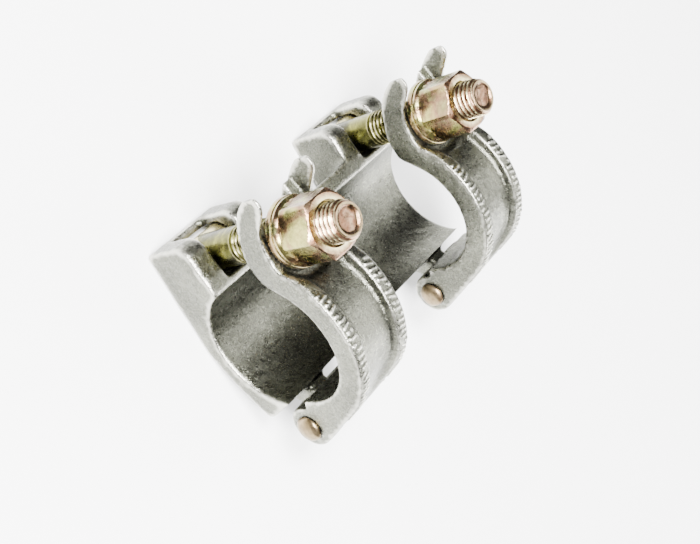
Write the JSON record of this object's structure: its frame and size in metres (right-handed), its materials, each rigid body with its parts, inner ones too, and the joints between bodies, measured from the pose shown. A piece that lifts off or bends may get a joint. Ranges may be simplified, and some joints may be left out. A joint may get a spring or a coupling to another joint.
{
  "type": "scaffold sleeve coupler",
  "caption": "Forged steel coupler that clamps two scaffold tubes end to end: half-shell body, hinged flaps, swinging T-bolts with flanged nuts.",
  "frame": {"origin": "on the tube axis, midway along the body", "axes": "+Y along the tube axis; +Z along the closed bolts, away from the flat back; +X from the tube axis towards the hinge rivets"},
  "size_m": [0.0984, 0.122, 0.0852],
  "materials": {
    "forging": "satin bright zinc over a forged surface",
    "fastener": "yellow zinc passivate with brown and green tints",
    "rivet": "yellow-brown zinc passivate"
  },
  "bodies": {
    "body": {"coupler_body": "forging"},
    "front_flap": {"front_flap": "forging", "front_hinge_rivet": "rivet"},
    "front_t_bolt": {"front_t_bolt": "fastener"},
    "front_washer": {"front_washer": "fastener"},
    "front_nut": {"front_nut": "fastener"},
    "rear_flap": {"rear_flap": "forging", "rear_hinge_rivet": "rivet"},
    "rear_t_bolt": {"rear_t_bolt": "fastener"},
    "rear_washer": {"rear_washer": "fastener"},
    "rear_nut": {"rear_nut": "fastener"}
  },
  "joints": [
    {"name": "front_flap_hinge", "type": "hinge", "parent": "body", "child": "front_flap", "pos_m": [0.0366, -0.043, -0.0054], "axis": [0, 1, 0], "range_deg": [-7.5, 0]},
    {"name": "front_bolt_swing", "type": "hinge", "parent": "body", "child": "front_t_bolt", "pos_m": [-0.0334, -0.043, -0.0235], "axis": [0, -1, 0], "range_deg": [0, 65]},
    {"name": "front_washer_slide", "type": "slide", "parent": "front_t_bolt", "child": "front_washer", "axis": [0, 0, 1], "range_m": [0, 0.007]},
    {"name": "front_nut_spin", "type": "hinge", "parent": "front_washer", "child": "front_nut", "pos_m": [-0.0334, -0.043, 0.0281], "axis": [0, 0, 1], "range_deg": [0, 1260]},
    {"name": "rear_flap_hinge", "type": "hinge", "parent": "body", "child": "rear_flap", "pos_m": [0.0366, 0.043, -0.0054], "axis": [0, 1, 0], "range_deg": [-7.5, 0]},
    {"name": "rear_bolt_swing", "type": "hinge", "parent": "body", "child": "rear_t_bolt", "pos_m": [-0.0334, 0.043, -0.0235], "axis": [0, -1, 0], "range_deg": [0, 65]},
    {"name": "rear_washer_slide", "type": "slide", "parent": "rear_t_bolt", "child": "rear_washer", "axis": [0, 0, 1], "range_m": [0, 0.007]},
    {"name": "rear_nut_spin", "type": "hinge", "parent": "rear_washer", "child": "rear_nut", "pos_m": [-0.0334, 0.043, 0.0281], "axis": [0, 0, 1], "range_deg": [0, 1260]}
  ],
  "couplings": [
    {"joint": "front_washer_slide", "follows": "front_nut_spin", "m_per_rad": 0.00031831},
    {"joint": "rear_washer_slide", "follows": "rear_nut_spin", "m_per_rad": 0.00031831}
  ]
}
